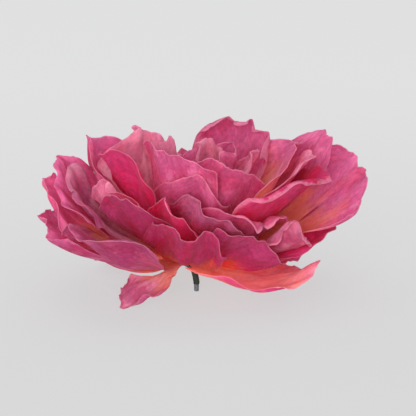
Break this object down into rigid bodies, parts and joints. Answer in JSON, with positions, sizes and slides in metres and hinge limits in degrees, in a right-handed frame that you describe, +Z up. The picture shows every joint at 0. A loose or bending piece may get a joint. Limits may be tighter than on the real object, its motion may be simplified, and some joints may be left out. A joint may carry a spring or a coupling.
{
  "type": "crepe paper peony",
  "caption": "Full double crepe paper peony with cupped, ruffled petals glued in layers round a small ball on a short taped wire stub.",
  "frame": {"origin": "middle of the stem stub's flat cut end, which stands on the table", "axes": "+Z up, -Y the front from which the flower was pictured, +X the side to which the flower head leans and where its longest petal reaches"},
  "size_m": [0.1597, 0.1345, 0.0828],
  "materials": {
    "magenta_crepe": "crepe paper, stretched and cupped, mottled rose magenta with lighter lilac rims and a coral base",
    "pale_crepe": "crepe paper, faded pale pink and lilac with a coral base",
    "deep_crepe": "crepe paper, deep red magenta",
    "floral_tape": "waxed floral tape, black green, dull",
    "wire": "dull annealed wire"
  },
  "bodies": {
    "root": {"centre_petal_1": "magenta_crepe", "centre_petal_2": "pale_crepe", "centre_petal_3": "magenta_crepe", "centre_petal_4": "magenta_crepe", "centre_petal_5": "pale_crepe", "centre_petal_6": "magenta_crepe", "centre_petal_7": "magenta_crepe", "inner_petal_1": "magenta_crepe", "inner_petal_2": "magenta_crepe", "inner_petal_3": "magenta_crepe", "inner_petal_4": "pale_crepe", "inner_petal_5": "magenta_crepe", "inner_petal_6": "pale_crepe", "inner_petal_7": "magenta_crepe", "middle_petal_1": "deep_crepe", "middle_petal_2": "deep_crepe", "middle_petal_3": "pale_crepe", "middle_petal_4": "magenta_crepe", "middle_petal_5": "magenta_crepe", "middle_petal_6": "magenta_crepe", "middle_petal_7": "magenta_crepe", "middle_petal_8": "magenta_crepe", "full_petal_1": "magenta_crepe", "full_petal_2": "deep_crepe", "full_petal_3": "magenta_crepe", "full_petal_4": "magenta_crepe", "full_petal_5": "pale_crepe", "full_petal_6": "magenta_crepe", "full_petal_7": "magenta_crepe", "full_petal_8": "pale_crepe", "full_petal_9": "deep_crepe", "full_petal_10": "deep_crepe", "full_petal_11": "deep_crepe", "outer_petal_1": "pale_crepe", "outer_petal_2": "deep_crepe", "outer_petal_3": "magenta_crepe", "outer_petal_4": "magenta_crepe", "outer_petal_5": "magenta_crepe", "outer_petal_6": "magenta_crepe", "outer_petal_7": "magenta_crepe", "guard_petal_1": "magenta_crepe", "guard_petal_2": "magenta_crepe", "guard_petal_3": "magenta_crepe", "guard_petal_4": "magenta_crepe", "guard_petal_5": "magenta_crepe", "guard_petal_6": "magenta_crepe", "guard_petal_7": "magenta_crepe", "drooping_petal_1": "pale_crepe", "drooping_petal_2": "magenta_crepe", "drooping_petal_3": "magenta_crepe", "drooping_petal_4": "magenta_crepe", "stem_wire": "wire", "stem_tape": "floral_tape", "ball": "floral_tape"}
  },
  "joints": []
}
